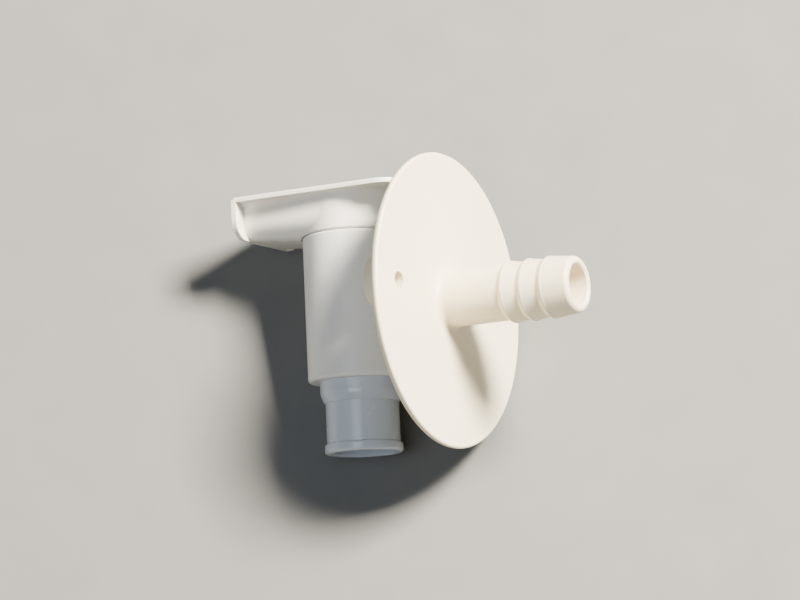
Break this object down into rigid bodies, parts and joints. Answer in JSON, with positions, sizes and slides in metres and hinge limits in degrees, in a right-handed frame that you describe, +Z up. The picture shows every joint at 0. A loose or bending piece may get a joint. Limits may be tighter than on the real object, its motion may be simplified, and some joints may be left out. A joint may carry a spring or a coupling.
{
  "type": "thru hull fitting",
  "caption": "Plastic through-hull fitting: round flange with a hose barb on one side, and a quarter-turn plug valve with a broad lever and a beaded outlet spigot on the other.",
  "frame": {"origin": "centre of the flange's hull-side face, on the axis of the hose barb's bore", "axes": "+X out along the hose barb, +Z up the valve axis towards the lever, +Y completes a right-handed frame"},
  "size_m": [0.0916, 0.0762, 0.0762],
  "materials": {
    "flange_plastic": "satin",
    "body_plastic": "satin",
    "lever_plastic": "satin",
    "outlet_plastic": "gloss",
    "rotor_plastic": "satin",
    "seat_plastic": "matt",
    "seal_rubber": "matt",
    "stainless": "satin"
  },
  "bodies": {
    "fitting": {"flange_tailpiece": "flange_plastic", "tail_oring": "seal_rubber", "tail_clip": "stainless", "valve_body": "body_plastic", "seat_seal": "seat_plastic", "seat_follower": "stainless", "seat_spring": "stainless", "thrust_washer_upper": "seat_plastic", "thrust_washer_lower": "seat_plastic", "retaining_collar": "rotor_plastic", "stem_oring": "seal_rubber", "outlet_spigot": "outlet_plastic", "outlet_collar": "outlet_plastic"},
    "lever": {"rotor": "rotor_plastic", "rotor_oring_upper": "seal_rubber", "rotor_oring_lower": "seal_rubber", "handle_lever": "lever_plastic", "screw_washer": "stainless", "handle_screw": "stainless", "handle_cap": "lever_plastic"}
  },
  "joints": [
    {"name": "lever_turn", "type": "hinge", "parent": "fitting", "child": "lever", "pos_m": [-0.027, 0, 0], "axis": [0, 0, 1], "range_deg": [0, 90]}
  ]
}
